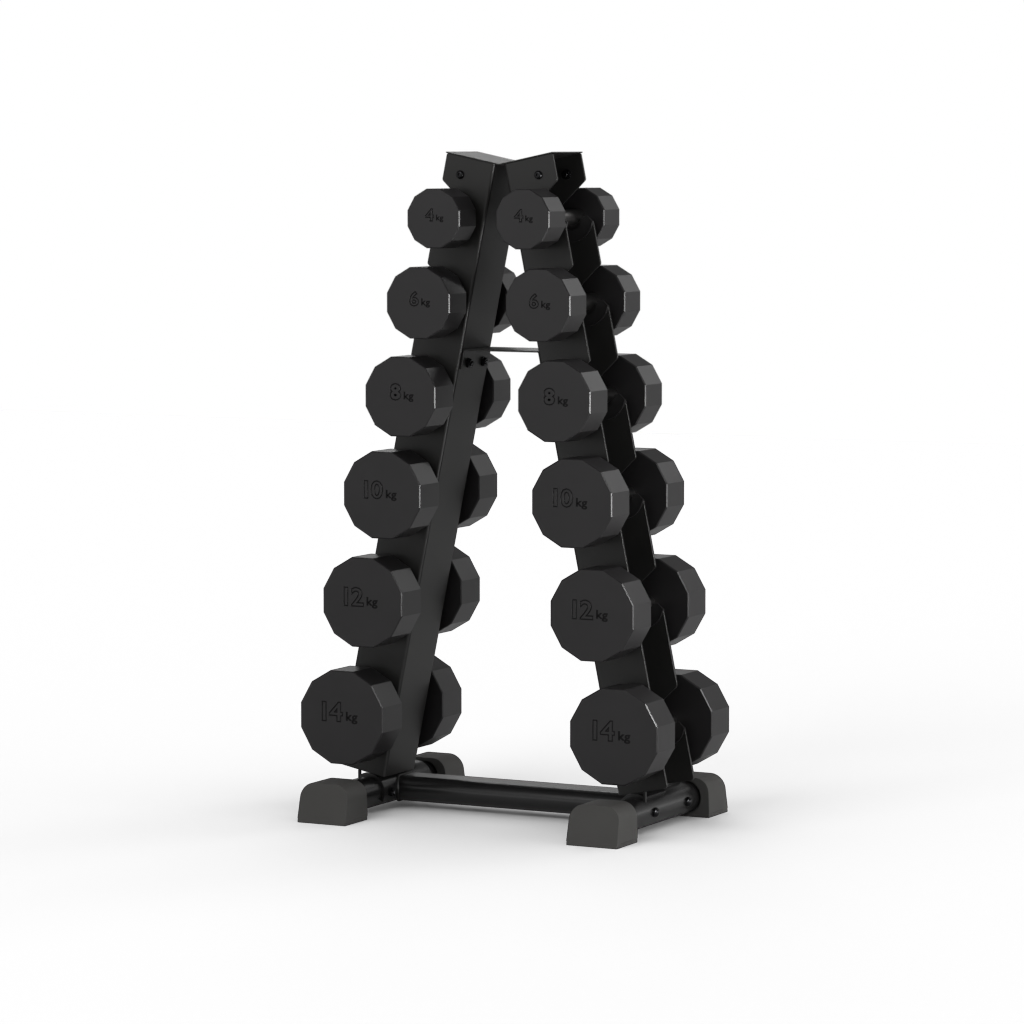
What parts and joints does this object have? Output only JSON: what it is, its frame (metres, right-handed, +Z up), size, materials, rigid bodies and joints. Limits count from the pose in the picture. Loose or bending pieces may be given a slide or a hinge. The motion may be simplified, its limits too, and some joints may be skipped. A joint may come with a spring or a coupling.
{
  "type": "dumbbell rack",
  "caption": "A-frame rack with two leaning notched sheet-metal uprights that carry columns of twelve-sided dumbbells on lined saddles over a round-tube base with rubber feet.",
  "frame": {"origin": "on the floor, midway between the four feet", "axes": "+Z up, -Y towards the front of the rack, +X to the right seen from the front; the handles lie along Y"},
  "size_m": [0.6238, 0.406, 1.0485],
  "materials": {
    "powder_coat": "semi-gloss black powder coat",
    "head_rubber": "cast iron core under a smooth satin black rubber coat",
    "handle_steel": "satin machined steel",
    "foot_rubber": "matte dark grey-black moulded rubber",
    "bolt_steel": "glossy black oxide"
  },
  "bodies": {
    "rack_frame": {"upright_left": "powder_coat", "upright_right": "powder_coat", "top_cap": "powder_coat", "tie_plate": "powder_coat", "cross_tube": "powder_coat", "base_tube_left": "powder_coat", "base_tube_right": "powder_coat", "base_saddle_left": "powder_coat", "base_saddle_right": "powder_coat", "foot_front_left": "foot_rubber", "foot_front_right": "foot_rubber", "foot_rear_left": "foot_rubber", "foot_rear_right": "foot_rubber", "top_bolt_front_left": "bolt_steel", "top_bolt_front_right": "bolt_steel", "top_bolt_rear_left": "bolt_steel", "top_bolt_rear_right": "bolt_steel", "base_bolt_front_left": "bolt_steel", "base_bolt_front_right": "bolt_steel", "base_bolt_rear_left": "bolt_steel", "base_bolt_rear_right": "bolt_steel"},
    "dumbbell_04kg_left": {"handle_04kg_left": "handle_steel", "head_front_04kg_left": "head_rubber", "head_rear_04kg_left": "head_rubber"},
    "dumbbell_06kg_left": {"handle_06kg_left": "handle_steel", "head_front_06kg_left": "head_rubber", "head_rear_06kg_left": "head_rubber"},
    "dumbbell_08kg_left": {"handle_08kg_left": "handle_steel", "head_front_08kg_left": "head_rubber", "head_rear_08kg_left": "head_rubber"},
    "dumbbell_10kg_left": {"handle_10kg_left": "handle_steel", "head_front_10kg_left": "head_rubber", "head_rear_10kg_left": "head_rubber"},
    "dumbbell_12kg_left": {"handle_12kg_left": "handle_steel", "head_front_12kg_left": "head_rubber", "head_rear_12kg_left": "head_rubber"},
    "dumbbell_14kg_left": {"handle_14kg_left": "handle_steel", "head_front_14kg_left": "head_rubber", "head_rear_14kg_left": "head_rubber"},
    "dumbbell_04kg_right": {"handle_04kg_right": "handle_steel", "head_front_04kg_right": "head_rubber", "head_rear_04kg_right": "head_rubber"},
    "dumbbell_06kg_right": {"handle_06kg_right": "handle_steel", "head_front_06kg_right": "head_rubber", "head_rear_06kg_right": "head_rubber"},
    "dumbbell_08kg_right": {"handle_08kg_right": "handle_steel", "head_front_08kg_right": "head_rubber", "head_rear_08kg_right": "head_rubber"},
    "dumbbell_10kg_right": {"handle_10kg_right": "handle_steel", "head_front_10kg_right": "head_rubber", "head_rear_10kg_right": "head_rubber"},
    "dumbbell_12kg_right": {"handle_12kg_right": "handle_steel", "head_front_12kg_right": "head_rubber", "head_rear_12kg_right": "head_rubber"},
    "dumbbell_14kg_right": {"handle_14kg_right": "handle_steel", "head_front_14kg_right": "head_rubber", "head_rear_14kg_right": "head_rubber"}
  },
  "joints": [
    {"name": "lift_04kg_left", "type": "slide", "parent": "rack_frame", "child": "dumbbell_04kg_left", "axis": [-0.7373, 0, 0.6756], "range_m": [0, 0.2]},
    {"name": "lift_06kg_left", "type": "slide", "parent": "rack_frame", "child": "dumbbell_06kg_left", "axis": [-0.7373, 0, 0.6756], "range_m": [0, 0.2]},
    {"name": "lift_08kg_left", "type": "slide", "parent": "rack_frame", "child": "dumbbell_08kg_left", "axis": [-0.7373, 0, 0.6756], "range_m": [0, 0.2]},
    {"name": "lift_10kg_left", "type": "slide", "parent": "rack_frame", "child": "dumbbell_10kg_left", "axis": [-0.7373, 0, 0.6756], "range_m": [0, 0.2]},
    {"name": "lift_12kg_left", "type": "slide", "parent": "rack_frame", "child": "dumbbell_12kg_left", "axis": [-0.7373, 0, 0.6756], "range_m": [0, 0.2]},
    {"name": "lift_14kg_left", "type": "slide", "parent": "rack_frame", "child": "dumbbell_14kg_left", "axis": [-0.7373, 0, 0.6756], "range_m": [0, 0.2]},
    {"name": "lift_04kg_right", "type": "slide", "parent": "rack_frame", "child": "dumbbell_04kg_right", "axis": [0.7373, 0, 0.6756], "range_m": [0, 0.2]},
    {"name": "lift_06kg_right", "type": "slide", "parent": "rack_frame", "child": "dumbbell_06kg_right", "axis": [0.7373, 0, 0.6756], "range_m": [0, 0.2]},
    {"name": "lift_08kg_right", "type": "slide", "parent": "rack_frame", "child": "dumbbell_08kg_right", "axis": [0.7373, 0, 0.6756], "range_m": [0, 0.2]},
    {"name": "lift_10kg_right", "type": "slide", "parent": "rack_frame", "child": "dumbbell_10kg_right", "axis": [0.7373, 0, 0.6756], "range_m": [0, 0.2]},
    {"name": "lift_12kg_right", "type": "slide", "parent": "rack_frame", "child": "dumbbell_12kg_right", "axis": [0.7373, 0, 0.6756], "range_m": [0, 0.2]},
    {"name": "lift_14kg_right", "type": "slide", "parent": "rack_frame", "child": "dumbbell_14kg_right", "axis": [0.7373, 0, 0.6756], "range_m": [0, 0.2]}
  ]
}
